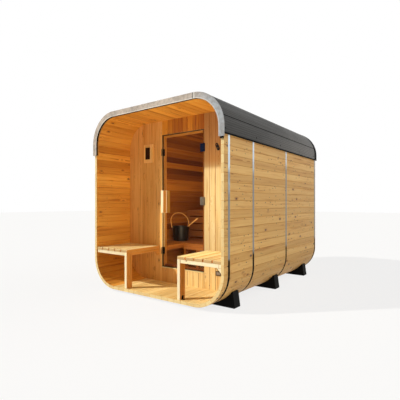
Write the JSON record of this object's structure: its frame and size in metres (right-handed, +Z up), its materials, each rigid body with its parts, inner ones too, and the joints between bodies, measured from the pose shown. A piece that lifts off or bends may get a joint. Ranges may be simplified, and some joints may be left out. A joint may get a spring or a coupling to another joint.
{
  "type": "outdoor stave sauna",
  "caption": "Rounded-square outdoor sauna of long wooden staves held by steel hoops, with a covered porch, slatted benches, a hinged glass door and black cradle beams.",
  "frame": {"origin": "on the ground, under the middle of the whole object's box", "axes": "+X to the right seen from the porch, +Y from the porch into the cabin, +Z up"},
  "size_m": [2.109, 2.814, 2.3155],
  "materials": {
    "stave_wood": "clear oiled softwood staves with knots",
    "board_wood": "clear oiled upright boards",
    "bench_wood": "planed bench timber",
    "frame_wood": "darker door and cabin bench timber",
    "roof_board": "rough boarding",
    "roof_sheet": "ribbed dark grey roofing",
    "edge_black": "matt black folded sheet",
    "trim_zinc": "dull galvanised sheet",
    "hoop_steel": "bright stainless strip",
    "hinge_steel": "satin stainless",
    "fitting_black": "black coated metal",
    "cradle_black": "black stained timber",
    "door_glass": "clear bronze toned glass",
    "panel_glass": "dark glossy display",
    "bucket_metal": "dark brown black metal"
  },
  "bodies": {
    "cabin": {"floor_staves": "stave_wood", "left_wall_staves": "stave_wood", "right_wall_staves": "stave_wood", "roof_staves": "stave_wood", "lower_right_corner": "stave_wood", "upper_right_corner": "stave_wood", "upper_left_corner": "stave_wood", "lower_left_corner": "stave_wood", "porch_wall_left": "board_wood", "porch_wall_right": "board_wood", "porch_wall_head": "board_wood", "porch_wall_sill": "board_wood", "back_wall": "board_wood", "door_frame": "frame_wood", "hinge_plates": "hinge_steel", "jamb_catches": "fitting_black", "roof_boarding": "roof_board", "roof_covering": "roof_sheet", "drip_edges": "edge_black", "front_edge_trim": "trim_zinc", "back_edge_trim": "edge_black", "front_hoop": "hoop_steel", "porch_hoop": "hoop_steel", "middle_hoop": "hoop_steel", "back_hoop": "hoop_steel", "front_cradle": "cradle_black", "middle_cradle": "cradle_black", "back_cradle": "cradle_black", "left_bench_seat": "bench_wood", "left_bench_frame": "bench_wood", "right_bench_seat": "bench_wood", "right_bench_frame": "bench_wood", "lower_bench_seat": "frame_wood", "lower_bench_frame": "frame_wood", "upper_bench_seat": "frame_wood", "upper_bench_frame": "frame_wood", "panel_surround": "bench_wood", "control_panel": "panel_glass", "oval_wall_plate": "fitting_black", "floor_vent": "fitting_black", "water_bucket": "bucket_metal", "bail_and_ladle": "bench_wood"},
    "door": {"door_glass": "door_glass", "hinge_clamps": "hinge_steel", "door_handle": "bench_wood"}
  },
  "joints": [
    {"name": "door_hinge", "type": "hinge", "parent": "cabin", "child": "door", "pos_m": [0.36, -0.81, 1.161], "axis": [0, 0, 1], "range_deg": [0, 90]}
  ]
}
